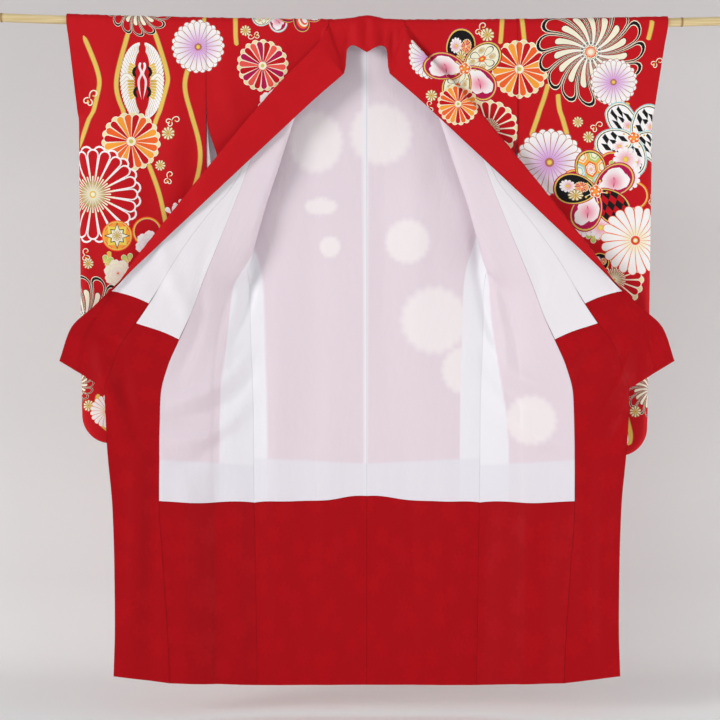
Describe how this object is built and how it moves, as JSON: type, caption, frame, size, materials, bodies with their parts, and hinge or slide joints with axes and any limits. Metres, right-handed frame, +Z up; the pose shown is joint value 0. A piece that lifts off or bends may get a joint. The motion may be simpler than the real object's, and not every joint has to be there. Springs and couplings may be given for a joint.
{
  "type": "furisode kimono on a bamboo pole",
  "caption": "Long-sleeved silk kimono hung by a straight pole through both sleeves, its lined fronts drawn open sideways.",
  "frame": {"origin": "on the bamboo pole's axis, level with the garment's centre back seam", "axes": "+X along the pole to the wearer's left, -Y out of the garment's front towards the viewer, +Z up"},
  "size_m": [1.9, 0.1093, 1.5816],
  "materials": {
    "crepe": "patterned red silk crepe",
    "white_silk": "plain-woven white silk, soft sheen",
    "red_silk": "deep red figured silk, soft sheen",
    "bamboo": "pale bamboo, natural skin"
  },
  "bodies": {
    "root": {"back_right": "crepe", "front_right": "crepe", "okumi_right": "crepe", "collar_right": "crepe", "sleeve_front_right": "crepe", "sleeve_back_right": "crepe", "back_lining_right": "white_silk", "front_lining_right": "white_silk", "okumi_lining_right": "white_silk", "collar_lining_right": "white_silk", "sleeve_lining_front_right": "white_silk", "sleeve_lining_back_right": "white_silk", "back_hem_lining_right": "red_silk", "front_hem_lining_right": "red_silk", "okumi_hem_lining_right": "red_silk", "collar_end_lining_right": "red_silk", "back_left": "crepe", "front_left": "crepe", "okumi_left": "crepe", "collar_left": "crepe", "sleeve_front_left": "crepe", "sleeve_back_left": "crepe", "back_lining_left": "white_silk", "front_lining_left": "white_silk", "okumi_lining_left": "white_silk", "collar_lining_left": "white_silk", "sleeve_lining_front_left": "white_silk", "sleeve_lining_back_left": "white_silk", "back_hem_lining_left": "red_silk", "front_hem_lining_left": "red_silk", "okumi_hem_lining_left": "red_silk", "collar_end_lining_left": "red_silk", "pole": "bamboo"}
  },
  "joints": []
}
